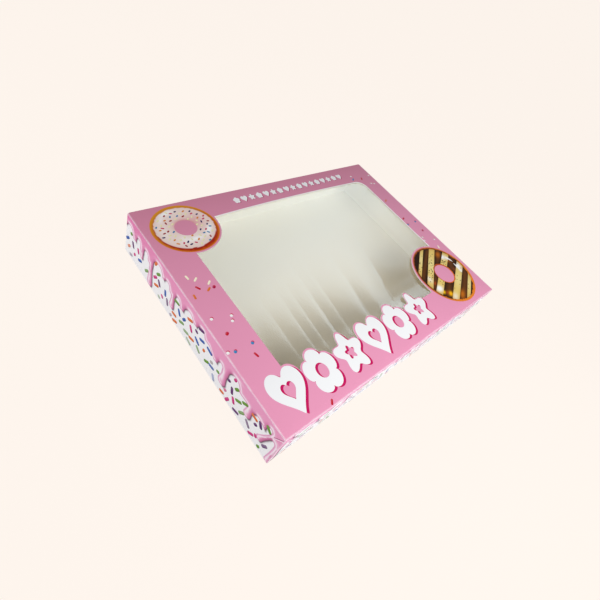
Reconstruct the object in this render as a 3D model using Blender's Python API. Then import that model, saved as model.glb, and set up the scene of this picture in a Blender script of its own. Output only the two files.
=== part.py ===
"""A windowed doughnut box: a folded paperboard tray, a lid hinged along the back crease, and a clear film.

Run with: blender --background --python part.py
Metres, +Z up. The origin is at the middle of the footprint, on the surface that the box stands on.
+Y points to the hinged back edge and +X to the right, as seen by someone who faces the front.
"""

import math

import bmesh
import bpy
from mathutils import Matrix, Vector

MM = 0.001

# Driving dimensions
WIDTH = 394 * MM
DEPTH = 290 * MM
HEIGHT = 57.5 * MM
BOARD = 0.6 * MM

# How the lid sits over the tray
LID_CLEARANCE = 1.2 * MM
REST_GAP = 0.3 * MM
SKIRT_LIFT = 0.8 * MM
CREASE = 1.2 * MM

# The window, measured from the lid's left and front edges
WINDOW_LEFT = 39.5 * MM
WINDOW_RIGHT = 361 * MM
WINDOW_FRONT = 42 * MM
WINDOW_BACK = 252.5 * MM
WINDOW_RADIUS = 15 * MM
WINDOW_BOW = 3 * MM

# Printed motifs that the die-cut window runs round, with the pink margin left beside them
CUT_MARGIN = 2 * MM
ICED_RING = {"centre": (48 * MM, 249 * MM), "radii": (39 * MM, 36.5 * MM)}
STRIPED_RING = {"centre": (339 * MM, 55.5 * MM), "radii": (49 * MM, 48.5 * MM)}
SWEETS_START = 32 * MM
SWEETS_PITCH = 42.5 * MM
SWEETS_CENTRE = 33.5 * MM
SWEET_HALF_WIDTH = 20 * MM
SWEET_HALF_HEIGHT = 24.5 * MM
SWEETS = ("heart", "flower", "star", "heart", "flower", "star")

FILM_OVERLAP = 10 * MM
FILM = 0.3 * MM

# Corner flaps, glued inside the walls
TRAY_FLAP = 38 * MM
LID_FLAP = 46 * MM
FLAP_DROP = 5 * MM
FLAP_ROUND = 9 * MM

# The half-moon in the front skirt for a thumb
NOTCH_HALF_WIDTH = 19 * MM
NOTCH_HEIGHT = 17 * MM

CUT_REACH = 10 * MM
ARC_STEPS = 12
MOTIF_STEPS = 60

HINGE = Vector((0, DEPTH / 2, HEIGHT))

PINK = (0.79, 0.33, 0.51)
WHITE = (0.86, 0.85, 0.82)
CLEAR = (0.80, 0.84, 0.80)


def clear_scene():
    for thing in list(bpy.data.objects):
        bpy.data.objects.remove(thing)


def board_material(name, colour, roughness=0.45, alpha=1.0):
    material = bpy.data.materials.new(name)
    material.use_nodes = True
    shader = material.node_tree.nodes["Principled BSDF"]
    shader.inputs["Base Color"].default_value = (*colour, 1.0)
    shader.inputs["Roughness"].default_value = roughness
    shader.inputs["Metallic"].default_value = 0.0
    shader.inputs["Alpha"].default_value = alpha
    return material


def new_object(name, mesh):
    thing = bpy.data.objects.new(name, mesh)
    bpy.context.collection.objects.link(thing)
    return thing


def hang_on(thing, hinge):
    """Parents a piece to the empty on the joint's axis, and leaves it where it is."""
    thing.parent = hinge
    thing.matrix_parent_inverse = Matrix.Translation(-hinge.location)


def arc(centre, radii, start_deg, end_deg, steps=ARC_STEPS):
    """Points on an ellipse's arc, both ends included."""
    points = []
    for step in range(steps + 1):
        angle = math.radians(start_deg + (end_deg - start_deg) * step / steps)
        points.append((centre[0] + radii[0] * math.cos(angle), centre[1] + radii[1] * math.sin(angle)))
    return points


def window_outline(low, high, radius, bow):
    """A rectangle with round corners, anticlockwise, whose back edge bows outwards in the middle."""
    left, right = low[0] + radius, high[0] - radius
    front, back = low[1] + radius, high[1] - radius
    radii = (radius, radius)
    back_edge = []
    for step in range(1, ARC_STEPS):
        across = 1 - 2 * step / ARC_STEPS
        middle = (left + right) / 2
        back_edge.append((middle + across * (right - left) / 2, high[1] + bow * (1 - across**2)))
    return [
        *arc((right, front), radii, -90, 0),
        *arc((right, back), radii, 0, 90),
        *back_edge,
        *arc((left, back), radii, 90, 180),
        *arc((left, front), radii, 180, 270),
    ]


def prism(name, outline, low, high, axis="Z"):
    """A closed prism of an anticlockwise outline, from low to high along Z, or along X with the outline in Y and Z."""
    mesh = bpy.data.meshes.new(name)
    model = bmesh.new()

    def place(point, level):
        return (point[0], point[1], level) if axis == "Z" else (level, point[0], point[1])

    bottom = [model.verts.new(place(point, low)) for point in outline]
    top = [model.verts.new(place(point, high)) for point in outline]
    model.faces.new(list(reversed(bottom)))
    model.faces.new(top)
    for this in range(len(outline)):
        after = (this + 1) % len(outline)
        model.faces.new((bottom[this], bottom[after], top[after], top[this]))
    model.to_mesh(mesh)
    model.free()
    return new_object(name, mesh)


def combine(thing, other, operation):
    """Adds a live Boolean to thing. The other solid is then a hidden tool, which moves with thing."""
    modifier = thing.modifiers.new(f"{operation.title()} {other.name}", "BOOLEAN")
    modifier.operation = operation
    modifier.solver = "EXACT"
    modifier.object = other
    other.parent = thing
    other.hide_render = True
    other.display_type = "WIRE"


def folded_sheet(name, corners, faces):
    """A sheet folded from flat panels, given its board thickness inwards."""
    mesh = bpy.data.meshes.new(name)
    mesh.from_pydata(corners, [], faces)
    thing = new_object(name, mesh)
    thickness = thing.modifiers.new("Board", "SOLIDIFY")
    thickness.thickness = BOARD
    thickness.offset = -1
    thickness.use_even_offset = True
    return thing


def on_lid(point):
    """Turns a place measured from the lid's left and front edges into the box's own frame."""
    return (point[0] - WIDTH / 2, point[1] - DEPTH / 2)


# ---- printed motifs that shape the window ----


def heart(turn):
    """Two lobes at the top and a tip at the bottom: the classic heart curve, plumped by a share of a circle."""
    drop = 13 * math.cos(turn) - 5 * math.cos(2 * turn) - 2 * math.cos(3 * turn) - math.cos(4 * turn)
    return 0.78 * math.sin(turn) ** 3 + 0.22 * math.sin(turn), 0.78 * (drop + 2.5) / 14.6 + 0.22 * math.cos(turn)


def star(turn):
    """Five blunt points."""
    reach = 0.62 + 0.38 * (0.5 + 0.5 * math.cos(5 * turn))
    return reach * math.sin(turn), reach * math.cos(turn)


def flower(turn):
    """Five round petals."""
    reach = 0.74 + 0.26 * abs(math.cos(2.5 * turn)) ** 0.6
    return reach * math.sin(turn), reach * math.cos(turn)


SWEET_SHAPES = {"heart": heart, "star": star, "flower": flower}


def sweet_outline(kind, centre, margin):
    """Outline of a sugar sweet, anticlockwise, grown by a margin all round."""
    points = []
    for step in range(MOTIF_STEPS):
        across, up = SWEET_SHAPES[kind](-math.tau * step / MOTIF_STEPS)
        x = across * (SWEET_HALF_WIDTH + margin)
        y = up * (SWEET_HALF_HEIGHT + margin)
        points.append((centre[0] + x, centre[1] + y))
    return points


def window_cutter():
    """What the die takes out of the lid: a rounded rectangle less the motifs that reach into it."""
    low = on_lid((WINDOW_LEFT, WINDOW_FRONT))
    high = on_lid((WINDOW_RIGHT, WINDOW_BACK))
    bottom, top = HEIGHT - CUT_REACH, HEIGHT + CUT_REACH
    cutter = prism("window_cut", window_outline(low, high, WINDOW_RADIUS, WINDOW_BOW), bottom, top)
    keep_bottom, keep_top = bottom - CUT_REACH, top + CUT_REACH
    for name, ring in (("iced_ring", ICED_RING), ("striped_ring", STRIPED_RING)):
        radii = [radius + CUT_MARGIN for radius in ring["radii"]]
        outline = arc(on_lid(ring["centre"]), radii, 0, 360, 4 * ARC_STEPS)[:-1]
        combine(cutter, prism(f"keep_{name}", outline, keep_bottom, keep_top), "DIFFERENCE")
    for number, kind in enumerate(SWEETS):
        centre = on_lid((SWEETS_START + number * SWEETS_PITCH, SWEETS_CENTRE))
        outline = sweet_outline(kind, centre, CUT_MARGIN)
        combine(cutter, prism(f"keep_sweet_{number + 1}", outline, keep_bottom, keep_top), "DIFFERENCE")
    return cutter


# ---- folded board ----


def corner_flap(name, side, corner_y, inwards, wall_inner, low, high, length):
    """A glue flap against a side wall's inner face. Its free end is rounded at both corners.

    side is -1 for the left wall and 1 for the right one. corner_y is the wall that the flap folds from, and
    inwards is the direction in Y that it runs. wall_inner is the distance of the wall's inner face from the
    middle plane. The flap starts inside the wall's thickness, so that the two become one solid.
    """
    end = corner_y + inwards * length
    turn = end - inwards * FLAP_ROUND
    start_deg = 0 if inwards > 0 else 180
    lower = arc((turn, low + FLAP_ROUND), (FLAP_ROUND, FLAP_ROUND), -90, 0)
    upper = arc((turn, high - FLAP_ROUND), (FLAP_ROUND, FLAP_ROUND), 0, 90)
    if start_deg:
        lower = [(2 * turn - y, z) for y, z in lower]
        upper = [(2 * turn - y, z) for y, z in upper]
    outline = [(corner_y, low), *lower, *upper, (corner_y, high)]
    if start_deg:
        outline.reverse()
    near, far = wall_inner - BOARD, wall_inner + BOARD / 2
    span = (near, far) if side > 0 else (-far, -near)
    return prism(name, outline, *span, axis="X")


def make_tray():
    """The tray: a floor and four walls, open at the top, with glue flaps inside its four corners."""
    half_width = WIDTH / 2 - BOARD - LID_CLEARANCE
    front = -DEPTH / 2 + BOARD + LID_CLEARANCE
    back = DEPTH / 2
    top = HEIGHT - BOARD - REST_GAP
    corners = [
        (x, y, z)
        for z in (0, top)
        for x, y in ((-half_width, front), (half_width, front), (half_width, back), (-half_width, back))
    ]
    panels = [(3, 2, 1, 0), (0, 1, 5, 4), (1, 2, 6, 5), (2, 3, 7, 6), (3, 0, 4, 7)]
    tray = folded_sheet("tray", corners, panels)
    wall_inner = half_width - BOARD
    low, high = BOARD + FLAP_DROP / 2, top - FLAP_DROP
    for side, side_name in ((-1, "left"), (1, "right")):
        for corner_y, inwards, end_name in ((front, 1, "front"), (back, -1, "back")):
            start = corner_y + inwards * BOARD / 2
            name = f"tray_flap_{end_name}_{side_name}"
            flap = corner_flap(name, side, start, inwards, wall_inner, low, high, TRAY_FLAP)
            combine(tray, flap, "UNION")
    tray.data.materials.append(board_material("white board", WHITE))


def make_lid():
    """The lid: a top with the window, two side skirts and a front skirt that stand outside the tray."""
    half_width, front = WIDTH / 2, -DEPTH / 2
    back = DEPTH / 2 - CREASE
    corners = [
        (x, y, z)
        for z in (SKIRT_LIFT, HEIGHT)
        for x, y in ((-half_width, front), (half_width, front), (half_width, back), (-half_width, back))
    ]
    panels = [(4, 5, 6, 7), (0, 1, 5, 4), (1, 2, 6, 5), (3, 0, 4, 7)]
    lid = folded_sheet("lid", corners, panels)
    wall_inner = half_width - BOARD
    low, high = SKIRT_LIFT + FLAP_DROP, HEIGHT - BOARD - FLAP_DROP
    for side, side_name in ((-1, "left"), (1, "right")):
        name = f"lid_flap_{side_name}"
        flap = corner_flap(name, side, front + BOARD / 2, 1, wall_inner, low, high, LID_FLAP)
        combine(lid, flap, "UNION")
    combine(lid, window_cutter(), "DIFFERENCE")
    notch_outline = [
        (NOTCH_HALF_WIDTH * x, SKIRT_LIFT + (NOTCH_HEIGHT - SKIRT_LIFT) * z)
        for x, z in arc((0, 0), (1, 1), 0, 180, 2 * ARC_STEPS)
    ]
    notch_outline += [(-NOTCH_HALF_WIDTH, -CUT_REACH), (NOTCH_HALF_WIDTH, -CUT_REACH)]
    notch = prism("thumb_notch_cut", notch_outline, -CUT_REACH / 2, CUT_REACH / 2)
    notch.rotation_euler = (math.radians(90), 0, 0)
    notch.location = (0, front, 0)
    combine(lid, notch, "DIFFERENCE")
    lid.data.materials.append(board_material("printed board", PINK))
    return lid


def make_film():
    """The clear film, glued under the lid with its edge beyond the window all round."""
    low = on_lid((WINDOW_LEFT - FILM_OVERLAP, WINDOW_FRONT - FILM_OVERLAP))
    high = on_lid((WINDOW_RIGHT + FILM_OVERLAP, WINDOW_BACK + FILM_OVERLAP))
    outline = [low, (high[0], low[1]), high, (low[0], high[1])]
    top = HEIGHT - BOARD - REST_GAP
    film = prism("film", outline, top - FILM, top)
    film.data.materials.append(board_material("clear film", CLEAR, 0.08, 0.3))
    return film


clear_scene()
lid_hinge = new_object("lid_hinge_axis", None)
lid_hinge.location = HINGE
make_tray()
hang_on(make_lid(), lid_hinge)
hang_on(make_film(), lid_hinge)
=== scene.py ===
"""A pink windowed doughnut box: printed paperboard folded into a tray and a hinged lid, with a clear film window.

The sections follow the box as it is made up: the tray, the lid and its window, the crease that hinges them,
the film, and the inks. Lengths are in millimetres until a mesh is made, and every piece is a numpy surface.
"""

import math

import bmesh
import bpy
import numpy as np
from mathutils import Matrix, Vector


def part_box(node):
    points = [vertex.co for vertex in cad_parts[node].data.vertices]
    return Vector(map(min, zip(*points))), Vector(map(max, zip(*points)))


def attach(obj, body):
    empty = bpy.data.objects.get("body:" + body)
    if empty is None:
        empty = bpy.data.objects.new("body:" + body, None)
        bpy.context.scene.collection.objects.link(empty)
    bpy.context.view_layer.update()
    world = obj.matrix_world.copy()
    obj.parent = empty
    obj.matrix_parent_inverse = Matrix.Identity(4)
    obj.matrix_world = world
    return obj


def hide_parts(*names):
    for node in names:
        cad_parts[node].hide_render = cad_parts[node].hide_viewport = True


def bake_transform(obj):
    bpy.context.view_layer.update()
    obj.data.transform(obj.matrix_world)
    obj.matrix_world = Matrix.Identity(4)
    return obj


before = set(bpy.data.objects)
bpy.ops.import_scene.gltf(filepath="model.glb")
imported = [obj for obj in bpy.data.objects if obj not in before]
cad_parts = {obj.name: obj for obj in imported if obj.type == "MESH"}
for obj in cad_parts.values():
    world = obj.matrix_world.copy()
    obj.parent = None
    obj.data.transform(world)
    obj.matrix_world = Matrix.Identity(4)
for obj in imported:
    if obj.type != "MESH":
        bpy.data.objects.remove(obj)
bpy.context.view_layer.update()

# ==== The blank ====
# The box is one die-cut blank of coated paperboard, white or printed outside and bare inside, creased and
# folded. These are the outer sizes of the folded tray and lid. The inks lie on the board, a hair inside the
# outermost faces.

MM = 0.001
tray_low, tray_high = (np.array(corner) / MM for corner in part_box("tray"))
lid_low, lid_high = (np.array(corner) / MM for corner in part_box("lid"))
BOARD = 0.5
INK_ROOM = 0.09
FOLD = 0.8
WIDTH = lid_high[0] - lid_low[0]
DEPTH = tray_high[1] - lid_low[1]
HEIGHT = lid_high[2]


def linear(red, green, blue):
    """Linear colour of an ink given as its 0 to 255 screen values."""
    c = np.array([red, green, blue]) / 255
    return np.where(c <= 0.04045, c / 12.92, ((c + 0.055) / 1.055) ** 2.4)


PINK_INK = linear(236, 155, 188)
# The pink as it looks at the back of the lid, with painted shade.
BACK_SHADED_PINK_INK = linear(212, 133, 160)
WHITE_INK = linear(247, 246, 247)
BARE_BOARD = linear(250, 240, 217)
# The bare board as it looks at the back of the box, with painted light.
BACK_LIT_BARE_BOARD = linear(255, 252, 240)
CUT_BOARD = linear(253, 252, 250)


def piece_of(name, patches, materials, weld=True):
    """A mesh of several surfaces. A patch is a dict: "at" is an n by m by 3 grid of points, or a stack of such
    grids, "turned" swaps its sides, "keep" is a mask of the faces that stay, "slot" is its material's number,
    and any other entry is a number or a colour for each point, which becomes an attribute of the mesh."""
    at, faces, slots, values, start = [], [], [], {}, 0
    names = [key for key in patches[0] if key not in ("at", "turned", "keep", "slot")]
    for patch in patches:
        grid = np.asarray(patch["at"], float)
        grid = grid.reshape(-1, *grid.shape[-3:])
        count, n, m = grid.shape[:3]
        number = start + np.arange(count * n * m).reshape(count, n, m)
        quads = np.stack([number[:, :-1, :-1], number[:, 1:, :-1], number[:, 1:, 1:], number[:, :-1, 1:]], -1)
        if patch.get("turned"):
            quads = quads[..., ::-1]
        keep = patch.get("keep")
        quads = quads.reshape(-1, 4) if keep is None else quads[0][keep]
        at.append(grid.reshape(-1, 3))
        faces.append(quads)
        slots.append(np.full(len(quads), patch.get("slot", 0)))
        for key in names:
            value = np.asarray(patch[key], float)
            values.setdefault(key, []).append(value.reshape(count * n * m, -1))
        start += count * n * m
    mesh = bpy.data.meshes.new(name)
    mesh.from_pydata(np.concatenate(at) * MM, [], np.concatenate(faces))
    mesh.polygons.foreach_set("material_index", np.concatenate(slots))
    for key, parts in values.items():
        value = np.concatenate(parts)
        if value.shape[1] == 3:
            colour = mesh.color_attributes.new(key, "FLOAT_COLOR", "POINT")
            colour.data.foreach_set("color", np.c_[value, np.ones(len(value))].ravel())
        else:
            mesh.attributes.new(key, "FLOAT", "POINT").data.foreach_set("value", value.ravel())
    for material in materials:
        mesh.materials.append(material)
    if weld:
        model = bmesh.new()
        model.from_mesh(mesh)
        bmesh.ops.remove_doubles(model, verts=model.verts, dist=0.002 * MM)
        loose = [vertex for vertex in model.verts if not vertex.link_faces]
        bmesh.ops.delete(model, geom=loose, context="VERTS")
        model.to_mesh(mesh)
        model.free()
    piece = bpy.data.objects.new(name, mesh)
    bpy.context.scene.collection.objects.link(piece)
    return piece


def give_thickness(piece, thickness, inner=0, rim=0, angle=30):
    """Turns a sheet into a closed board of that thickness behind its face, and marks the sharp edges."""
    solid = piece.modifiers.new("Thickness", "SOLIDIFY")
    solid.thickness = thickness * MM
    solid.offset = -1
    solid.use_even_offset = True
    solid.material_offset = inner
    solid.material_offset_rim = rim
    graph = bpy.context.evaluated_depsgraph_get()
    mesh = bpy.data.meshes.new_from_object(piece.evaluated_get(graph))
    piece.modifiers.clear()
    old, piece.data = piece.data, mesh
    bpy.data.meshes.remove(old)
    mesh.name = piece.name
    mesh.shade_smooth()
    mesh.set_sharp_from_angle(angle=math.radians(angle))
    return piece


def group_socket(group, name, kind, into, value=None):
    """A named socket of a node group, with its resting value."""
    socket = group.interface.new_socket(name=name, in_out="INPUT" if into else "OUTPUT", socket_type=kind)
    if value is not None:
        socket.default_value = value
    return socket


def maths(tree, operation, *inputs, kind="ShaderNodeMath"):
    """A maths node in that tree, fed by numbers or by other nodes' sockets. Gives its result."""
    node = tree.nodes.new(kind)
    node.operation = operation
    for socket, value in zip(node.inputs, inputs):
        if isinstance(value, bpy.types.NodeSocket):
            tree.links.new(value, socket)
        else:
            socket.default_value = value
    return node.outputs[0]


def crease_highlight_and_wear_group():
    """Node group for ink paled along the lid's creases, partly worn where the ink cracked at the folds and partly a
    painted highlight where the rounded folds catch the light. From the place on the lid it takes the larger of the
    distances to the two faces that meet in a crease, and pales the ink where the nearest crease is within reach, more
    in some places than in others."""
    group = bpy.data.node_groups.new("Crease highlight and paling", "ShaderNodeTree")
    group_socket(group, "Ink", "NodeSocketColor", True, (0.8, 0.8, 0.8, 1))
    group_socket(group, "Paling", "NodeSocketFloat", True, 0.6)
    group_socket(group, "Reach", "NodeSocketFloat", True, 0.0017)
    group_socket(group, "Colour", "NodeSocketColor", False)
    inside, outside = group.nodes.new("NodeGroupInput"), group.nodes.new("NodeGroupOutput")
    where = group.nodes.new("ShaderNodeTexCoord").outputs["Object"]
    split = group.nodes.new("ShaderNodeSeparateXYZ")
    group.links.new(where, split.inputs[0])
    to_side = maths(group, "SUBTRACT", lid_high[0] * MM, maths(group, "ABSOLUTE", split.outputs["X"]))
    to_front = maths(group, "SUBTRACT", split.outputs["Y"], lid_low[1] * MM)
    to_top = maths(group, "SUBTRACT", lid_high[2] * MM, split.outputs["Z"])
    side_crease = maths(group, "MAXIMUM", to_side, to_top)
    front_crease = maths(group, "MAXIMUM", to_front, to_top)
    corner = maths(group, "MAXIMUM", to_side, to_front)
    nearest = maths(group, "MINIMUM", maths(group, "MINIMUM", side_crease, front_crease), corner)
    patches = group.nodes.new("ShaderNodeTexNoise")
    patches.inputs["Scale"].default_value = 90
    patches.inputs["Detail"].default_value = 3
    group.links.new(where, patches.inputs["Vector"])
    uneven = maths(group, "MULTIPLY_ADD", patches.outputs["Fac"], 1.2, 0.4)
    share = maths(group, "DIVIDE", nearest, maths(group, "MULTIPLY", inside.outputs["Reach"], uneven))
    fade = maths(group, "SUBTRACT", 1.0, maths(group, "MINIMUM", share, 1.0))
    amount = maths(group, "MULTIPLY", maths(group, "MULTIPLY", fade, uneven), inside.outputs["Paling"])
    pale = group.nodes.new("ShaderNodeMix")
    pale.data_type = "RGBA"
    # The pale ink of the creases: worn ink and a painted highlight.
    pale.inputs["B"].default_value = (*linear(250, 236, 243), 1)
    group.links.new(amount, pale.inputs["Factor"])
    group.links.new(inside.outputs["Ink"], pale.inputs["A"])
    group.links.new(pale.outputs["Result"], outside.inputs["Colour"])
    return group


def coated_board_group():
    """Node group for the surface of board: a slight mottle of the ink, a fine grain in the coating, and the
    height that gives the light something to catch."""
    group = bpy.data.node_groups.new("Board surface", "ShaderNodeTree")
    group_socket(group, "Ink", "NodeSocketColor", True, (0.8, 0.8, 0.8, 1))
    group_socket(group, "Mottle", "NodeSocketFloat", True, 0.03)
    group_socket(group, "Roughness", "NodeSocketFloat", True, 0.4)
    group_socket(group, "Grain size", "NodeSocketFloat", True, 1400.0)
    group_socket(group, "Colour", "NodeSocketColor", False)
    group_socket(group, "Roughness", "NodeSocketFloat", False)
    group_socket(group, "Height", "NodeSocketFloat", False)
    nodes, links = group.nodes, group.links
    inside, outside = nodes.new("NodeGroupInput"), nodes.new("NodeGroupOutput")
    where = nodes.new("ShaderNodeTexCoord")
    cloud = nodes.new("ShaderNodeTexNoise")
    cloud.inputs["Scale"].default_value = 28
    cloud.inputs["Detail"].default_value = 4
    fibre = nodes.new("ShaderNodeTexNoise")
    fibre.inputs["Detail"].default_value = 3
    fibre.inputs["Roughness"].default_value = 0.6
    for noise in (cloud, fibre):
        links.new(where.outputs["Object"], noise.inputs["Vector"])
    links.new(inside.outputs["Grain size"], fibre.inputs["Scale"])
    swing = maths(group, "SUBTRACT", maths(group, "ADD", cloud.outputs["Fac"], fibre.outputs["Fac"]), 1.0)
    amount = maths(group, "MULTIPLY_ADD", swing, inside.outputs["Mottle"], 1.0)
    tint = nodes.new("ShaderNodeVectorMath")
    tint.operation = "SCALE"
    links.new(inside.outputs["Ink"], tint.inputs[0])
    links.new(amount, tint.inputs["Scale"])
    links.new(tint.outputs[0], outside.inputs["Colour"])
    links.new(maths(group, "MULTIPLY_ADD", swing, 0.12, inside.outputs["Roughness"]), outside.inputs["Roughness"])
    links.new(fibre.outputs["Fac"], outside.inputs["Height"])
    return group


CREASE_HIGHLIGHT_AND_WEAR = crease_highlight_and_wear_group()
BOARD_SURFACE = coated_board_group()


def board_material(name, ink, roughness, mottle=0.03, relief=0.02, paling=0.0, ink_from=None, specular=0.5):
    """Paperboard or ink on it. The colour is one ink, or the mesh's own colours where ink_from names them.
    paling is how far it pales along the lid's creases: worn ink and a painted highlight together."""
    material = bpy.data.materials.new(name)
    material.use_nodes = True
    nodes, links = material.node_tree.nodes, material.node_tree.links
    shader = nodes["Principled BSDF"]
    surface = nodes.new("ShaderNodeGroup")
    surface.node_tree = BOARD_SURFACE
    surface.inputs["Mottle"].default_value = mottle
    surface.inputs["Roughness"].default_value = roughness
    printed = surface.inputs["Ink"]
    surface.name = "surface"
    if paling:
        crease_pale_node = nodes.new("ShaderNodeGroup")
        crease_pale_node.name = "crease_pale_node"
        crease_pale_node.node_tree = CREASE_HIGHLIGHT_AND_WEAR
        crease_pale_node.inputs["Paling"].default_value = paling
        links.new(crease_pale_node.outputs["Colour"], printed)
        printed = crease_pale_node.inputs["Ink"]
    printed.default_value = (*ink, 1)
    if ink_from:
        colours = nodes.new("ShaderNodeVertexColor")
        colours.layer_name = ink_from
        links.new(colours.outputs["Color"], printed)
    bump = nodes.new("ShaderNodeBump")
    bump.inputs["Strength"].default_value = 0.35
    bump.inputs["Distance"].default_value = relief * MM
    links.new(surface.outputs["Colour"], shader.inputs["Base Color"])
    links.new(surface.outputs["Roughness"], shader.inputs["Roughness"])
    links.new(surface.outputs["Height"], bump.inputs["Height"])
    links.new(bump.outputs["Normal"], shader.inputs["Normal"])
    shader.inputs["Specular IOR Level"].default_value = specular
    return material


# The top's pink pales along its creases: worn ink and a painted highlight.
PRINTED_PINK = board_material("Printed pink board", PINK_INK, 0.36, paling=0.72)


def paint_light_towards_back(material, coating, ink, power):
    """Paints light and shade from the lid's front edge to its back one: the colour of that coating changes to another
    ink, lighter or darker, by a power of the share of the way."""
    tree = material.node_tree
    printed = tree.nodes[coating].inputs["Ink"]
    where = tree.nodes.new("ShaderNodeTexCoord")
    split = tree.nodes.new("ShaderNodeSeparateXYZ")
    tree.links.new(where.outputs["Object"], split.inputs[0])
    share = tree.nodes.new("ShaderNodeMapRange")
    share.inputs["From Min"].default_value = lid_low[1] * MM
    share.inputs["From Max"].default_value = lid_high[1] * MM
    tree.links.new(split.outputs["Y"], share.inputs["Value"])
    inks = tree.nodes.new("ShaderNodeMix")
    inks.data_type = "RGBA"
    inks.inputs["A"].default_value = printed.default_value
    inks.inputs["B"].default_value = (*ink, 1)
    tree.links.new(maths(tree, "POWER", share.outputs[0], power), inks.inputs["Factor"])
    tree.links.new(inks.outputs["Result"], printed)


# Painted shade: the top's pink darkens towards the back, where less of the key light falls.
paint_light_towards_back(PRINTED_PINK, "crease_pale_node", BACK_SHADED_PINK_INK, 3)
PRINTED_WHITE = board_material("Printed white board", WHITE_INK, 0.4, specular=0.1)
INSIDE_BOARD = board_material("Bare inside board", BARE_BOARD, 0.7, 0.06, 0.04)
# Painted light: the bare inside grows lighter towards the back.
paint_light_towards_back(INSIDE_BOARD, "surface", BACK_LIT_BARE_BOARD, 1.8)
CUT_EDGE = board_material("Cut board edge", CUT_BOARD, 0.8, 0.08, 0.05)

# ==== The tray ====
# The tray is the floor and four walls, folded up along creases, with a glue flap inside each end of the side
# walls. Its outside is coated white, its inside is bare, and only its back wall is printed.

TRAY_WALL_TOP = tray_high[2] - 0.1


def wall_run(low, high, fold, steps, closed):
    """Feet of the folded walls in plan: points on a rectangle inset by the fold, and the outward direction at
    each. At a corner the point stays and the direction turns, which rounds the upright fold. steps are the
    places along the left, front, right and, where closed, back sides, as lists from 0 to 1."""
    left, right = low[0] + fold, high[0] - fold
    front, back = low[1] + fold, high[1]
    if closed:
        back -= fold
    ends = [((left, back), (left, front)), ((left, front), (right, front)), ((right, front), (right, back))]
    if closed:
        ends.append(((right, back), (left, back)))
    feet, facing = [], []
    turn = np.radians(np.linspace(0, 90, 6))[1:-1]
    for side, (start, end) in enumerate(ends):
        share = np.asarray(steps[side])[:, None]
        feet.append(np.array(start) * (1 - share) + np.array(end) * share)
        angle = np.full(len(share), np.pi + side * np.pi / 2)
        facing.append(np.c_[np.cos(angle), np.sin(angle)])
        if closed or side < 2:
            angle = np.pi + side * np.pi / 2 + turn
            feet.append(np.repeat([end], len(turn), 0))
            facing.append(np.c_[np.cos(angle), np.sin(angle)])
    if closed:
        feet.append(feet[0][:1])
        facing.append(facing[0][:1])
    return np.concatenate(feet), np.concatenate(facing)


def folded_walls(feet, facing, fold, crease_z, end_z, up, rows, first=0):
    """Surface of walls that fold out of a level panel: a quarter round of radius fold, from the angle first,
    then a straight wall to end_z, which may differ along the run. up is 1 for walls that rise and -1 for
    walls that hang."""
    angle = np.radians(np.linspace(first, 90, 5))
    out = np.r_[np.sin(angle), np.ones(rows)] * fold
    rise = fold * (1 - np.cos(angle))
    share = np.arange(1, rows + 1) / rows
    end = np.broadcast_to(end_z, len(feet))[:, None]
    start = crease_z + up * fold
    z = np.c_[np.repeat((crease_z + up * rise)[None], len(feet), 0), start + (end - start) * share]
    xy = feet[:, None] + facing[:, None] * out[None, :, None]
    return np.dstack([xy, z])


tray_sides = np.linspace(0, 1, 30)
tray_feet, tray_facing = wall_run(tray_low, tray_high - [0, INK_ROOM, 0], FOLD, [tray_sides] * 4, True)
tray_walls = folded_walls(tray_feet, tray_facing, FOLD, tray_low[2], TRAY_WALL_TOP, 1, 8)
floor_spokes = np.linspace(0, 1, 9)[None, :, None]
tray_floor = np.zeros((len(tray_feet), 9, 3))
tray_floor[..., :2] = tray_feet[:, None] * floor_spokes
tray_floor[..., 2] = tray_low[2]
tray_board = piece_of(
    "tray_board",
    [{"at": tray_floor}, {"at": tray_walls}],
    [PRINTED_WHITE, INSIDE_BOARD, CUT_EDGE],
)
give_thickness(tray_board, BOARD, 1, 2)
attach(tray_board, "base")
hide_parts("tray")

FLAP_ROUND = 9.0


def glue_flaps(name, body, part, wall_x, corners, length, low, high):
    """Glue flaps against the inner faces of both side walls. Each is a sheet over Y and Z whose free end is
    rounded: there its lower and upper edges close in by quarter circles. corners are the places in Y that
    the flaps start from, with the direction in which they run."""
    run = np.r_[np.linspace(0, length - FLAP_ROUND, 4), length - FLAP_ROUND * (1 - np.sin(np.linspace(0, np.pi / 2, 9)[1:]))]
    closing = FLAP_ROUND - np.sqrt(FLAP_ROUND**2 - np.clip(run - length + FLAP_ROUND, 0, FLAP_ROUND) ** 2)
    share = np.linspace(0, 1, 7)[None, :]
    z = (low + closing)[:, None] * (1 - share) + (high - closing)[:, None] * share
    patches = []
    for side in (-1, 1):
        for start, inwards in corners:
            y = np.repeat((start + inwards * run)[:, None], z.shape[1], 1)
            at = np.dstack([np.full_like(y, side * wall_x), y, z])
            patches.append({"at": at, "turned": side * inwards > 0})
    flaps = piece_of(name, patches, [INSIDE_BOARD, INSIDE_BOARD, CUT_EDGE], weld=False)
    give_thickness(flaps, BOARD, 1, 2)
    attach(flaps, body)
    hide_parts(part)
    return flaps


tray_flaps = glue_flaps(
    "tray_glue_flaps", "base", "tray", tray_high[0] - 2 * BOARD,
    ((tray_low[1] + BOARD, 1), (tray_high[1] - INK_ROOM - BOARD, -1)), 38.0, 3.0, TRAY_WALL_TOP - 5,
)

# ==== The lid ====
# The lid is the printed top with its die-cut window, and side and front skirts that hang outside the tray.
# The die leaves a pink margin round the printed doughnuts and sweets that reach into the window.

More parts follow.
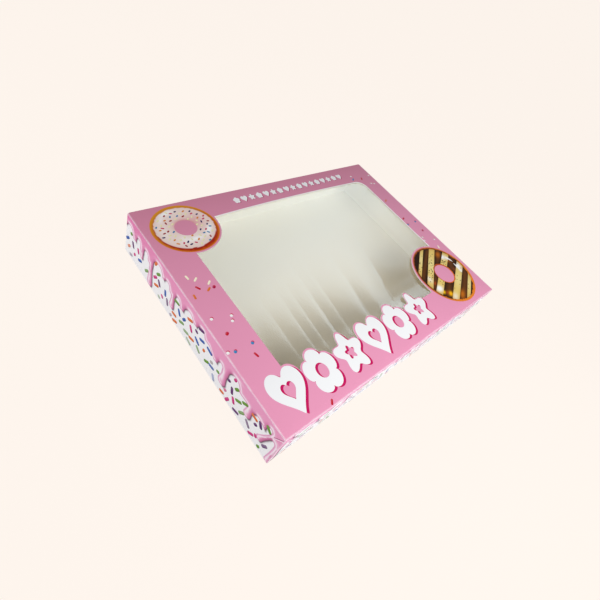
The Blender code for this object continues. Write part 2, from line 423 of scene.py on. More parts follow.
WINDOW_LEFT, WINDOW_RIGHT = 39.5, 361.0
WINDOW_FRONT, WINDOW_BACK = 42.0, 252.5
WINDOW_ROUND = 15.0
WINDOW_BOW = 3.0
MARGIN = 2.0
ICED = {"centre": (48.0, 249.0), "radii": (39.0, 36.5)}
STRIPED = {"centre": (339.0, 55.5), "radii": (49.0, 48.5)}
SWEETS = ("heart", "flower", "star", "heart", "flower", "star")
SWEET_PLACES = [(32.0 + 42.5 * number, 33.5) for number in range(len(SWEETS))]
SWEET_HALF = (20.0, 24.5)
SKIRT_LIFT = lid_low[2]
LID_BOARD = 0.9
NOTCH_HALF, NOTCH_TOP = 19.0, 17.0


def sweet_outline(kind, turn):
    """Outline of a sweet, 1 in each direction from its middle, at each turn from its top. A heart is the
    classic heart curve plumped by a share of a circle; a flower and a star are five-fold waves."""
    if kind == "heart":
        drop = 13 * np.cos(turn) - 5 * np.cos(2 * turn) - 2 * np.cos(3 * turn) - np.cos(4 * turn)
        return 0.78 * np.sin(turn) ** 3 + 0.22 * np.sin(turn), 0.78 * (drop + 2.5) / 14.6 + 0.22 * np.cos(turn)
    if kind == "star":
        reach = 0.62 + 0.38 * (0.5 + 0.5 * np.cos(5 * turn))
    else:
        reach = 0.74 + 0.26 * np.abs(np.cos(2.5 * turn)) ** 0.6
    return reach * np.sin(turn), reach * np.cos(turn)


def front_edge(x):
    """The window's front edge over x, from the lid's left and front edges: the straight cut, raised to the top
    of each sweet and of the striped doughnut."""
    edge = np.full_like(x, WINDOW_FRONT)
    turn = np.radians(np.linspace(-90, 90, 361))
    for kind, (middle, level) in zip(SWEETS, SWEET_PLACES):
        across, along = sweet_outline(kind, turn)
        across = middle + across * (SWEET_HALF[0] + MARGIN)
        along = level + along * (SWEET_HALF[1] + MARGIN)
        order = np.argsort(across)
        edge = np.maximum(edge, np.interp(x, across[order], along[order], left=0, right=0))
    (middle, level), radii = STRIPED["centre"], STRIPED["radii"]
    share = (x - middle) / (radii[0] + MARGIN)
    bulge = level + (radii[1] + MARGIN) * np.sqrt(np.clip(1 - share**2, 0, None))
    return np.where(np.abs(share) < 1, np.maximum(edge, bulge), edge)


def back_edge(x):
    """The window's back edge over x: a shallow bow with a round right corner, lowered to the underside of the
    iced doughnut."""
    straight = (WINDOW_LEFT + WINDOW_ROUND, WINDOW_RIGHT - WINDOW_ROUND)
    across = 2 * (np.clip(x, *straight) - straight[0]) / (straight[1] - straight[0]) - 1
    edge = WINDOW_BACK + WINDOW_BOW * (1 - across**2)
    past = np.clip(x - straight[1], 0, WINDOW_ROUND)
    edge = edge - WINDOW_ROUND + np.sqrt(WINDOW_ROUND**2 - past**2)
    (middle, level), radii = ICED["centre"], ICED["radii"]
    share = (x - middle) / (radii[0] + MARGIN)
    bulge = level - (radii[1] + MARGIN) * np.sqrt(np.clip(1 - share**2, 0, None))
    return np.where(np.abs(share) < 1, np.minimum(edge, bulge), edge)


def panel_columns():
    """Places of the panel's columns over x: dense over the window, doubled where its edge steps."""
    inner = np.arange(WINDOW_LEFT + 0.7, WINDOW_RIGHT - 0.4, 0.7)
    steps = [STRIPED["centre"][0] - STRIPED["radii"][0] - MARGIN, ICED["centre"][0] + ICED["radii"][0] + MARGIN]
    pairs = [step + side for step in steps for side in (-0.02, 0.02)]
    corner = WINDOW_RIGHT - WINDOW_ROUND * (1 - np.sin(np.radians(np.linspace(0, 90, 13)[1:-1])))
    left = np.linspace(FOLD, WINDOW_LEFT, 8)
    right = np.linspace(WINDOW_RIGHT, WIDTH - FOLD, 8)
    middle = np.unique(np.round(np.r_[inner, pairs, corner], 3))
    return np.r_[left, middle, right]


lid_x = panel_columns()
held = np.clip(lid_x, WINDOW_LEFT, WINDOW_RIGHT)
lid_front, lid_back = front_edge(held), back_edge(held)
lid_end = lid_high[1] - lid_low[1]
levels = []
for start, end, count in ((np.full_like(lid_x, FOLD), lid_front, 8), (lid_front, lid_back, 12),
                          (lid_back, np.full_like(lid_x, lid_end), 6)):
    share = np.linspace(0, 1, count + 1)[None, :]
    block = start[:, None] * (1 - share) + end[:, None] * share
    levels.append(block if not levels else block[:, 1:])
lid_y = np.concatenate(levels, 1)
LID_TOP = HEIGHT - INK_ROOM


def on_box(x, y, z):
    """Turns places measured from the lid's left and front edges into the box's own frame."""
    return np.stack(np.broadcast_arrays(lid_low[0] + x, lid_low[1] + y, z), -1)


panel_at = on_box(lid_x[:, None], lid_y, LID_TOP)
panel_keep = np.ones((len(lid_x) - 1, lid_y.shape[1] - 1), bool)
open_columns = (lid_x[:-1] >= WINDOW_LEFT - 0.01) & (lid_x[1:] <= WINDOW_RIGHT + 0.01)
panel_keep[np.ix_(open_columns, np.arange(8, 20))] = False


def skirt_end(feet, facing):
    """Height of the skirts' free edge: straight, with a half-moon in the middle of the front."""
    along = np.clip(np.abs(feet[:, 0]) / NOTCH_HALF, 0, 1)
    notch = SKIRT_LIFT + (NOTCH_TOP - SKIRT_LIFT) * np.sqrt(1 - along**2)
    return np.where(facing[:, 1] < -0.99, notch, SKIRT_LIFT)


inset = np.array([INK_ROOM, INK_ROOM, 0])
side_steps = (lid_y[0] - lid_y[0, 0]) / (lid_y[0, -1] - lid_y[0, 0])
front_steps = (lid_x - lid_x[0]) / (lid_x[-1] - lid_x[0])
lid_feet, lid_facing = wall_run(
    lid_low, lid_high, FOLD, [1 - side_steps[::-1], front_steps, side_steps], False
)
lid_walls = folded_walls(
    lid_feet, lid_facing, FOLD - INK_ROOM, LID_TOP, skirt_end(lid_feet, lid_facing), -1, 6
)
crease_faces = np.zeros((len(lid_feet) - 1, lid_walls.shape[1] - 1), bool)
crease_faces[:, :4] = True
lid_board = piece_of(
    "lid_board",
    [
        {"at": panel_at, "slot": 0, "keep": panel_keep},
        {"at": lid_walls, "slot": 0, "keep": crease_faces, "turned": True},
        {"at": lid_walls, "slot": 1, "keep": ~crease_faces, "turned": True},
    ],
    [PRINTED_PINK, PRINTED_WHITE, INSIDE_BOARD, INSIDE_BOARD, CUT_EDGE, CUT_EDGE],
)
give_thickness(lid_board, LID_BOARD, 2, 4)
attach(lid_board, "cover")
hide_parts("lid")

lid_flaps = glue_flaps(
    "lid_glue_flaps", "cover", "lid", lid_high[0] - INK_ROOM - LID_BOARD - BOARD,
    ((lid_low[1] + INK_ROOM + LID_BOARD, 1),), 46.0, SKIRT_LIFT + 5, HEIGHT - LID_BOARD - 5,
)

# ==== The back crease ====
# The lid and the tray are one blank, so the lid turns on a pressed crease along the top of the back wall. The
# board bends round it, from the back wall's face up to the lid's.

bend = np.radians(np.linspace(0, 90, 9))[None, :]
crease_x = np.linspace(lid_low[0] + 2, lid_high[0] - 2, 80)[:, None]
crease_y = lid_end + lid_low[1] + (tray_high[1] - INK_ROOM - lid_high[1]) * np.sin(bend)
crease_z = TRAY_WALL_TOP + (LID_TOP - TRAY_WALL_TOP) * np.cos(bend)
back_crease = piece_of(
    "back_crease", [{"at": np.stack(np.broadcast_arrays(crease_x, crease_y, crease_z), -1), "turned": False}],
    [PRINTED_PINK, INSIDE_BOARD, CUT_EDGE],
)
give_thickness(back_crease, 0.35, 1, 2)
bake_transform(back_crease)

# ==== The window film ====
# A clear, glossy film is glued under the lid round the window. It isn't stretched flat: it hangs in shallow
# humps between creases that run from front to back, so its reflections break into streaks.

film_low, film_high = (np.array(corner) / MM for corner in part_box("film"))
FILM_LEVEL = LID_TOP - LID_BOARD - 0.05
FILM_SAG = 0.6
FAN_REACH, FAN_MIDDLE = 830.0, 25.0
# Each crease: its place over x near the front edge, and the film's slope over x just after it and just before
# the next one.
CREASES = (
    (38, 0.06, -0.16), (66, 0.06, -0.20), (88, 0.06, -0.20), (103, 0.09, -0.34), (124, 0.09, -0.14),
    (142, 0.11, -0.26), (181, 0.08, -0.10), (205, -0.17, -0.24), (235, 0.06, 0.02), (306, 0, -0.02), (390, 0, 0),
)


def film_height(x, y):
    """Height of the film over its level, from x and y in the lid. The creases fan out slightly towards the back.
    Between two of them the slope over x dies away evenly from the first, and grows by a fourth power towards
    the next, so each ends in a narrow steep strip. The heights add up from crease to crease, and fade towards
    the back."""
    growth = np.clip((182 - y) / 105, 0, 1) ** 1.4
    fan = (y - 80) / FAN_REACH
    across = (x + FAN_MIDDLE * fan) / (1 + fan)
    places, after, before = np.array(CREASES).T
    wide = np.diff(places)
    starts = np.r_[0, np.cumsum(wide * (after / 2 + before / 5)[:-1])]
    index = np.clip(np.searchsorted(places, across, "right") - 1, 0, len(wide) - 1)
    share = np.clip((across - places[index]) / wide[index], 0, 1)
    rise = after[index] * (share - share**2 / 2) + before[index] * share**5 / 5
    return growth * (starts[index] + wide[index] * rise - FILM_SAG)


def film_material():
    """Clear film: what is behind shows through, with a glossy reflection that grows towards a glancing view,
    alike from both sides."""
    material = bpy.data.materials.new("Clear film")
    material.use_nodes = True
    nodes, links = material.node_tree.nodes, material.node_tree.links
    nodes.remove(nodes["Principled BSDF"])
    through = nodes.new("ShaderNodeBsdfTransparent")
    through.inputs["Color"].default_value = (0.95, 0.955, 0.94, 1)
    gloss = nodes.new("ShaderNodeBsdfGlossy")
    gloss.inputs["Roughness"].default_value = 0.18
    side = nodes.new("ShaderNodeNewGeometry")
    exponent = nodes.new("ShaderNodeMath")
    exponent.operation = "MULTIPLY_ADD"
    links.new(side.outputs["Backfacing"], exponent.inputs[0])
    exponent.inputs[1].default_value = -2.0
    exponent.inputs[2].default_value = 1.0
    density = nodes.new("ShaderNodeMath")
    density.operation = "POWER"
    density.inputs[0].default_value = 1.75
    links.new(exponent.outputs[0], density.inputs[1])
    mirror = nodes.new("ShaderNodeFresnel")
    links.new(density.outputs[0], mirror.inputs["IOR"])
    mix = nodes.new("ShaderNodeMixShader")
    links.new(mirror.outputs[0], mix.inputs[0])
    links.new(through.outputs[0], mix.inputs[1])
    links.new(gloss.outputs[0], mix.inputs[2])
    links.new(mix.outputs[0], nodes["Material Output"].inputs["Surface"])
    return material


film_x, film_y = np.meshgrid(
    np.linspace(film_low[0], film_high[0], 480), np.linspace(film_low[1], film_high[1], 70), indexing="ij"
)
free_edge = np.minimum.reduce([
    film_x - film_low[0] - 8, film_high[0] - 8 - film_x, film_y - film_low[1] - 8, film_high[1] - 8 - film_y
])
free = np.clip(free_edge / 22, 0, 1)
free = free**2 * (3 - 2 * free)
film_z = FILM_LEVEL + free * film_height(film_x - lid_low[0], film_y - lid_low[1])
window_film = piece_of("window_film", [{"at": np.dstack([film_x, film_y, film_z])}], [film_material()])
window_film.data.shade_smooth()
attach(window_film, "cover")
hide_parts("film")

# ==== The icing printed on the sides ====
# Pink icing is printed over the top of each side and runs down in drips over a white field. Like all the inks
# it is a layer on the board, drawn with a light edge on its left and a dark one on its right.

INK_LIFT = 0.03
INK_LAYER = 0.02
STRETCH = 290.0
# The lower edge of the band of icing: places along the side and depths below the top.
BAND = (
    (0, 16.5), (18, 22.5), (42, 23.5), (60, 24), (84, 18.5), (102, 23), (124, 24), (147, 18), (176, 17.6),
    (186, 26), (200, 25), (212, 24), (229, 20.4), (240, 20), (254, 21), (265, 18.6), (276, 26), (290, 27),
)
# Arches of white that reach up into it: place, depth of the top, and half the width.
ARCHES = (
    (8.5, 11, 7.5), (29.5, 13.3, 4.5), (46.5, 14.8, 4.6), (72.5, 8.8, 10), (92.5, 14.2, 5.5), (114.5, 15, 5),
    (136.5, 11.6, 8.5), (159.5, 10.4, 6.8), (196.5, 17.6, 4.2), (218.7, 9.8, 9.2), (258, 17, 5.5),
    (273.5, 9.4, 3.7), (281, 19.3, 6),
)
# Drips: place and depth of the tip, half the width of the neck and of the bulb, and place and depth of the
# neck's start.
DRIPS = (
    (38.7, 34.5, 2.4, 3.1, 37.5, 8), (60, 56.5, 3.0, 5.6, 58.6, 8), (106.3, 42, 2.9, 4.7, 106.7, 8),
    (205, 44.5, 3.6, 6.3, 205.8, 8), (246.5, 38, 3.8, 5.3, 247.5, 8), (269.4, 43.5, 2.3, 4.2, 280, 14),
    (287.5, 57.3, 2.7, 3.9, 288.7, 8),
)
# The icing on the front reaches down less far than on the sides: its share there, and the stretch it takes to
# change at a corner.
FRONT_REACH, CORNER_CHANGE = 0.62, 22


def icing_at(along, depth):
    """How far a place lies inside the icing, in millimetres, and the strength of a glint there. The band ends
    in straight runs, each arch is cut out as a capsule, and each drip is added as a line with a growing
    radius; smooth minima and maxima join them. The pattern turns back on itself after each stretch."""
    from_corner = np.clip(np.minimum(along - DEPTH, DEPTH + WIDTH - along) / CORNER_CHANGE, 0, 1)
    depth = depth / (1 - (1 - FRONT_REACH) * from_corner)
    folded = np.abs((along + STRETCH) % (2 * STRETCH) - STRETCH)
    mirrored = np.floor(along / STRETCH) % 2
    inside = 0.9 * (np.interp(folded, *np.array(BAND, float).T) - depth)
    glint = np.zeros_like(inside)
    for place, top, half in ARCHES:
        outside = np.hypot(folded - place, np.minimum(depth - top - half, 0)) - half
        blend = np.clip(0.5 - 0.5 * (inside - outside) / 2.5, 0, 1)
        inside = outside * (1 - blend) + inside * blend - 2.5 * blend * (1 - blend)
        side = np.where(mirrored, place - 0.25 * half, place + 0.25 * half)
        spot = ((folded - side) / (0.7 * half)) ** 2 + ((depth - top + 2.9) / 1.5) ** 2
        glint = np.maximum(glint, 0.85 * np.exp(-spot))
    for place, tip, neck, bulb, *start in DRIPS:
        end = np.array((place, tip - bulb))
        run = end - start
        share = np.clip(((folded - start[0]) * run[0] + (depth - start[1]) * run[1]) / (run @ run), 0, 1)
        within = neck + (bulb - neck) * share**3 - np.hypot(
            folded - start[0] - share * run[0], depth - start[1] - share * run[1]
        )
        blend = np.clip(0.5 + 0.5 * (inside - within) / 3.5, 0, 1)
        inside = within * (1 - blend) + inside * blend + 3.5 * blend * (1 - blend)
        side = place + np.where(mirrored, 0.22, -0.22) * bulb
        spot = ((folded - side) / (0.34 * bulb)) ** 2 + ((depth - tip + 1.9 * bulb) / (1.2 * bulb)) ** 2
        glint = np.maximum(glint, np.exp(-spot))
    return inside, glint


def icing_shading(along, depth):
    """The icing's depth at each point, and from its slope how far each point faces the dark right side."""
    inside, glint = icing_at(along, depth)
    step = 0.6
    rise_along = (icing_at(along + step, depth)[0] - icing_at(along - step, depth)[0]) / (2 * step)
    rise_down = (icing_at(along, depth + step)[0] - icing_at(along, depth - step)[0]) / (2 * step)
    facing_right = -rise_along / np.maximum(np.hypot(rise_along, rise_down), 0.3)
    dark = np.clip((facing_right - 0.1) / 0.6, 0, 1)
    # deep is painted shade: a deeper pink towards the back end of the left skirt.
    from_front = np.abs((along + STRETCH) % (2 * STRETCH) - STRETCH)
    return {
        "inside": inside, "dark_side": dark**2 * (3 - 2 * dark), "glint": glint,
        "deep": 1 - np.clip(from_front / 150, 0, 1),
    }


def ramp(nodes, links, value, stops, low=-4.0, high=9.0):
    """A colour ramp over millimetres of depth into the icing. Each stop is a depth and an ink."""
    share = nodes.new("ShaderNodeMapRange")
    share.inputs["From Min"].default_value = low
    share.inputs["From Max"].default_value = high
    links.new(value, share.inputs["Value"])
    colours = nodes.new("ShaderNodeValToRGB")
    elements = colours.color_ramp.elements
    while len(elements) < len(stops):
        elements.new(0.5)
    for element, (depth, ink) in zip(elements, stops):
        element.position = (depth - low) / (high - low)
        element.color = (*ink, 1)
    links.new(share.outputs[0], colours.inputs[0])
    return colours.outputs["Color"]


ICING_INK = linear(238, 157, 195)
# Painted shade: the icing's deeper pink towards the back.
BACK_SHADED_ICING_INK = linear(226, 120, 172)
LIT_SIDE = (
    (-3.0, WHITE_INK), (-0.5, WHITE_INK), (-0.1, linear(232, 196, 216)), (0.35, linear(226, 150, 190)),
    (1.2, linear(236, 176, 208)), (2.3, linear(255, 240, 248)), (3.6, linear(240, 176, 207)), (5.5, ICING_INK),
)
DARK_SIDE = (
    (-3.0, WHITE_INK), (-1.9, linear(226, 222, 226)), (-0.9, linear(150, 134, 142)), (-0.3, linear(88, 56, 72)),
    (0.3, linear(186, 92, 138)), (1.6, linear(214, 120, 166)), (3.4, linear(228, 138, 183)), (6.0, ICING_INK),
)


def icing_material():
    """The print of icing over white: two ramps over the depth into the icing, one for the lit and one for the dark
    side, a soft glint in each drip's bulb, and a deeper pink towards the back that is painted shade."""
    material = board_material("Printed icing", WHITE_INK, 0.4, paling=0.65, specular=0.1)
    nodes, links = material.node_tree.nodes, material.node_tree.links
    read = {}
    for name in ("inside", "dark_side", "glint", "deep"):
        read[name] = nodes.new("ShaderNodeAttribute")
        read[name].attribute_name = name
    lit = ramp(nodes, links, read["inside"].outputs["Fac"], LIT_SIDE)
    dark = ramp(nodes, links, read["inside"].outputs["Fac"], DARK_SIDE)
    sides = nodes.new("ShaderNodeMix")
    sides.data_type = "RGBA"
    links.new(read["dark_side"].outputs["Fac"], sides.inputs["Factor"])
    links.new(lit, sides.inputs["A"])
    links.new(dark, sides.inputs["B"])
    inked = nodes.new("ShaderNodeMapRange")
    inked.inputs["From Max"].default_value = 1.2
    links.new(read["inside"].outputs["Fac"], inked.inputs["Value"])
    shine = nodes.new("ShaderNodeMath")
    shine.operation = "MULTIPLY"
    links.new(read["glint"].outputs["Fac"], shine.inputs[0])
    links.new(inked.outputs[0], shine.inputs[1])
    glossed = nodes.new("ShaderNodeMix")
    glossed.data_type = "RGBA"
    links.new(shine.outputs[0], glossed.inputs["Factor"])
    links.new(sides.outputs["Result"], glossed.inputs["A"])
    glossed.inputs["B"].default_value = (*linear(250, 230, 240), 1)
    thick = nodes.new("ShaderNodeMapRange")
    thick.inputs["From Min"].default_value = 3.0
    thick.inputs["From Max"].default_value = 7.0
    links.new(read["inside"].outputs["Fac"], thick.inputs["Value"])
    deepened = nodes.new("ShaderNodeMix")
    deepened.data_type = "RGBA"
    links.new(maths(material.node_tree, "MULTIPLY", read["deep"].outputs["Fac"], thick.outputs[0]),
              deepened.inputs["Factor"])
    links.new(glossed.outputs["Result"], deepened.inputs["A"])
    deepened.inputs["B"].default_value = (*BACK_SHADED_ICING_INK, 1)
    links.new(deepened.outputs["Result"], nodes["crease_pale_node"].inputs["Ink"])
    return material


PRINTED_ICING = icing_material()


def along_skirts(feet, facing):
    """Distance along the skirts from the left one's back end, as if they were unfolded flat."""
    x, y = feet[:, 0] - lid_low[0], feet[:, 1] - lid_low[1]
    angle = np.degrees(np.arctan2(facing[:, 1], facing[:, 0])) % 360
    left, front, right = DEPTH - y, DEPTH + x, DEPTH + WIDTH + y
    first = DEPTH - FOLD + 2 * FOLD * (angle - 180) / 90
    second = DEPTH + WIDTH - FOLD + 2 * FOLD * (angle - 270) / 90
    run = np.where(angle < 180.5, left, np.where(np.abs(angle - 270) < 0.5, front, first))
    run = np.where(angle > 270.5, second, run)
    return np.where((angle > 359.5) | (angle < 0.5), right, run)


def skirt_steps(length):
    """Even steps of about 1.25 mm along a wall of that length, as shares of it."""
    return np.linspace(0, 1, round(length / 1.25) + 1)


skirt_feet, skirt_facing = wall_run(
    lid_low, lid_high, FOLD, [skirt_steps(DEPTH), skirt_steps(WIDTH), skirt_steps(DEPTH)], False
)
skirt_print = folded_walls(
    skirt_feet, skirt_facing, FOLD - INK_ROOM + INK_LIFT, LID_TOP + INK_LIFT,
    skirt_end(skirt_feet, skirt_facing), -1, 44, 40,
)
skirt_along = np.repeat(along_skirts(skirt_feet, skirt_facing)[:, None], skirt_print.shape[1], 1)
skirt_depth = HEIGHT - skirt_print[..., 2]
skirt_shading = icing_shading(skirt_along, skirt_depth)
skirt_ends = (0, np.searchsorted(skirt_along[:, 0], DEPTH), np.searchsorted(skirt_along[:, 0], DEPTH + WIDTH))
for name, start, stop in zip(
    ("icing_print_left", "icing_print_front", "icing_print_right"), skirt_ends, (*skirt_ends[1:], len(skirt_feet) - 1)
):
    part = slice(start, stop + 1)
    patch = {"at": skirt_print[part], "turned": True}
    patch.update({key: value[part] for key, value in skirt_shading.items()})
    icing_print = piece_of(name, [patch], [PRINTED_ICING])
    give_thickness(icing_print, INK_LAYER)
    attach(icing_print, "cover")

back_run = np.repeat(np.linspace(2, WIDTH - 2, 313)[:, None], 46, 1)
back_depth = np.repeat(np.linspace(HEIGHT - TRAY_WALL_TOP + 0.3, HEIGHT - FOLD, 46)[None], 313, 0)
back_at = np.dstack([lid_high[0] - back_run, np.full_like(back_run, tray_high[1] - INK_ROOM + INK_LIFT),
                     HEIGHT - back_depth])
back_patch = {"at": back_at, "turned": True}
back_patch.update(icing_shading(back_run + 60, back_depth))
back_print = piece_of("icing_print_back", [back_patch], [PRINTED_ICING])
give_thickness(back_print, INK_LAYER)
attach(back_print, "base")

# ==== Sprinkles printed on the sides ====
# Sugar strands are printed all over the white field, in six inks, each drawn with a dark lower edge.

STRAND_INKS = np.array([
    linear(98, 148, 20), linear(92, 14, 104), linear(30, 84, 172), linear(210, 20, 124), linear(226, 106, 14),
    linear(184, 176, 176),
])
STRAND_WIDTH = 4.1
# Neighbouring strands lie at slightly different heights, so that none shares a surface with the next.
STRAND_STEP = 0.006
STRAND_ODDS = (0.19, 0.2, 0.19, 0.19, 0.18, 0.05)
INKS = board_material("Printed inks", WHITE_INK, 0.4, ink_from="ink", specular=0.1)


def mix_ink(first, second, share):
    """Blend of two inks by a share for each point."""
    share = np.clip(share, 0, 1)[..., None]
    return first * (1 - share) + second * share


def capsules(centres, angles, lengths, widths, inks, shade=0.55):
    """Round-ended strands as stacks of polar grids: a circle of half the width, stretched along the strand.
    Colours run from the ink in the middle to a darkened edge on the lower right."""
    around = np.radians(np.linspace(0, 360, 17))
    rings = np.array([0.0, 0.72, 1.0])[:, None]
    half = widths[:, None, None] / 2
    stretch = (lengths - widths)[:, None, None] / 2
    u = rings * (np.cos(around) * half + np.sign(np.round(np.cos(around), 6)) * stretch)
    v = rings * np.sin(around) * half
    cos, sin = np.cos(angles)[:, None, None], np.sin(angles)[:, None, None]
    x = centres[:, 0, None, None] + u * cos - v * sin
    y = centres[:, 1, None, None] + u * sin + v * cos
    edge_x = np.cos(around) * cos - np.sin(around) * sin
    edge_y = np.cos(around) * sin + np.sin(around) * cos
    dark = np.clip(0.55 * edge_x - 0.85 * edge_y, 0, 1) * shade * rings**4
    light = np.clip(-0.6 * edge_x + 0.8 * edge_y, 0, 1) * 0.12 * rings * (1 - rings**6)
    ink = inks[:, None, None, :] * (1 - dark[..., None]) + light[..., None] * (1 - inks[:, None, None, :])
    return x, y, np.broadcast_to(ink, (*x.shape, 3))


def strewn(run_low, run_high, depth_low, depth_high, pitch, rng):
    """Places strewn over a wall: a lattice with shifted rows, each place moved at random by up to a fifth of
    the pitch."""
    along, down = np.meshgrid(np.arange(run_low, run_high, pitch), np.arange(depth_low, depth_high, pitch * 0.8))
    along = along + (np.arange(len(along))[:, None] % 2) * pitch / 2
    places = np.stack([along, down], -1).reshape(-1, 2)
    places = places + rng.uniform(-0.2, 0.2, places.shape) * pitch
    inside = (places[:, 0] > run_low) & (places[:, 0] < run_high)
    return places[inside & (places[:, 1] > depth_low) & (places[:, 1] < depth_high)]


def on_wall(u, v, start, corner, direction, outward):
    """Turns places along the run of icing and heights over the lid's top into the box's own frame, on one wall.
    start is the wall's place along the run, corner its end in plan, direction the way the run goes, and
    outward the way it faces."""
    plan = np.array(corner) + (u[..., None] - start) * np.array(direction) + np.array(outward) * INK_LIFT
    return np.concatenate([plan, (HEIGHT + v)[..., None]], -1)


def side_strands(name, body, length, wall, pale, seed):
    """Sprinkles on one wall, each paled towards white by that share: on the front a painted sheen, for the wall seen
    at a glancing angle.
    """
    start = wall[0]
    rng = np.random.default_rng(seed)
    places = strewn(start + 5, start + length - 5, 12, HEIGHT - 4.6, 12.7, rng)
    from_notch = np.hypot(
        (places[:, 0] - DEPTH - WIDTH / 2) / (NOTCH_HALF + 6), (HEIGHT - places[:, 1]) / (NOTCH_TOP + 5)
    )
    places = places[(from_notch > 1) & (icing_at(places[:, 0], places[:, 1])[0] < -1.8)]
    count = len(places)
    lengths = rng.choice([5.6, 8.2, 9.8, 10.6], count, p=[0.24, 0.18, 0.33, 0.25])
    angles = np.radians(rng.normal(38, 19, count) + 95 * (rng.uniform(size=count) < 0.32))
    inks = STRAND_INKS[rng.choice(len(STRAND_INKS), count, p=STRAND_ODDS)]
    faded = 0.42 * (rng.uniform(size=count) < 0.5) * np.clip((places[:, 1] - 38) / 12, 0, 1)
    inks = mix_ink(inks, WHITE_INK, np.maximum(faded, pale))
    lowest = HEIGHT - SKIRT_LIFT - 0.3 - STRAND_WIDTH / 2 - (lengths - STRAND_WIDTH) / 2 * np.abs(np.sin(angles))
    up = np.c_[places[:, 0], -np.minimum(places[:, 1], lowest)]
    u, v, ink = capsules(up, angles, lengths, np.full(count, STRAND_WIDTH), inks)
    layers = STRAND_STEP * (np.arange(count) % 4)[:, None, None, None]
    at = on_wall(u, v, *wall) + layers * np.array((*wall[-1], 0))
    strands = piece_of(name, [{"at": at, "ink": ink}], [INKS])
    give_thickness(strands, INK_LAYER)
    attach(strands, body)


wall_face = INK_ROOM - INK_LIFT
LEFT_WALL = (0, (lid_low[0] + wall_face, lid_low[1] + DEPTH), (0, -1), (-1, 0))
FRONT_WALL = (DEPTH, (lid_low[0], lid_low[1] + wall_face), (1, 0), (0, -1))
RIGHT_WALL = (DEPTH + WIDTH, (lid_high[0] - wall_face, lid_low[1]), (0, 1), (1, 0))
BACK_WALL = (60, (lid_high[0], tray_high[1] - wall_face), (-1, 0), (0, 1))
side_strands("strands_left", "cover", DEPTH, LEFT_WALL, 0, 3)
# The front's strands are paled by 0.3: painted sheen on the front wall, seen at a glancing angle.
side_strands("strands_front", "cover", WIDTH, FRONT_WALL, 0.3, 4)
side_strands("strands_right", "cover", DEPTH, RIGHT_WALL, 0, 5)
side_strands("strands_back", "base", WIDTH, BACK_WALL, 0, 6)

# ==== The corner creases ====
# Each side skirt has a short slanted crease at its front end, where its flap was folded in. A dark line of
# painted shade is drawn along it, with a pale line of painted highlight beside it.

CREASE_SHADE_INK, CREASE_HIGHLIGHT_INK = linear(178, 98, 140), linear(250, 222, 236)
CREASE_LENGTH, CREASE_WIDTH, CREASE_LEAN = 13.5, 0.9, math.radians(51)
patches = []
for wall, middle, way in ((LEFT_WALL, DEPTH - 5.4, 1), (RIGHT_WALL, DEPTH + WIDTH + 5.4, -1)):
    places = np.array([(middle, -8.2), (middle + way * 0.8, -9.0)])
    size = np.full(2, CREASE_LENGTH), np.full(2, CREASE_WIDTH)
    u, v, ink = capsules(places, np.full(2, way * CREASE_LEAN), *size, np.array([CREASE_SHADE_INK, CREASE_HIGHLIGHT_INK]), 0)
    patches.append({"at": on_wall(u, v, *wall), "ink": ink})
corner_creases = piece_of("corner_creases", patches, [INKS])
give_thickness(corner_creases, INK_LAYER)
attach(corner_creases, "cover")

# ==== The iced doughnut printed on the lid ====
# A doughnut with pale icing and small strands, printed in the left back corner. The die follows its rim.

TOP_LIFT = 0.055


def blob(x, y, middle, radii, lean=0):
    """A soft spot of height 1 in the middle that fades out past its radii, leaning by an angle in degrees."""
    cos, sin = math.cos(math.radians(lean)), math.sin(math.radians(lean))
    u, v = x - middle[0], y - middle[1]
    return np.exp(-(((u * cos + v * sin) / radii[0]) ** 2) - ((v * cos - u * sin) / radii[1]) ** 2)


def rings_between(inner, outer, count, steps=97):
    """Polar grid between two ellipses, each a middle and its radii, with the angle and the share of the way
    out at each of its points."""
    angle = np.radians(np.linspace(0, 360, steps))[:, None]
    share = np.linspace(0, 1, count)[None, :]
    middle = [inner[0][axis] * (1 - share) + outer[0][axis] * share for axis in (0, 1)]
    radii = [inner[1][axis] * (1 - share) + outer[1][axis] * share for axis in (0, 1)]
    x = middle[0] + radii[0] * np.cos(angle)
    y = middle[1] + radii[1] * np.sin(angle)
    return x, y, np.repeat(angle, count, 1), np.repeat(share, steps, 0)


def top_patch(x, y, ink, lift=INK_LIFT):
    """A layer of ink on the lid's top, with x and y from its left and front edges. The sum of its cells'
    signed areas tells whether the grid has to be turned to face up."""
    first = np.diff(x, axis=-2)[..., :-1], np.diff(y, axis=-2)[..., :-1]
    second = np.diff(x, axis=-1)[..., :-1, :], np.diff(y, axis=-1)[..., :-1, :]
    turned = (first[0] * second[1] - first[1] * second[0]).sum() < 0
    return {"at": on_box(x, y, LID_TOP + lift), "turned": turned, "ink": np.broadcast_to(ink, (*x.shape, 3))}


def printed_on_lid(name, patches):
    """A thin layer of ink on the lid's top, made of patches."""
    layer = piece_of(name, patches, [INKS])
    give_thickness(layer, INK_LAYER)
    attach(layer, "cover")


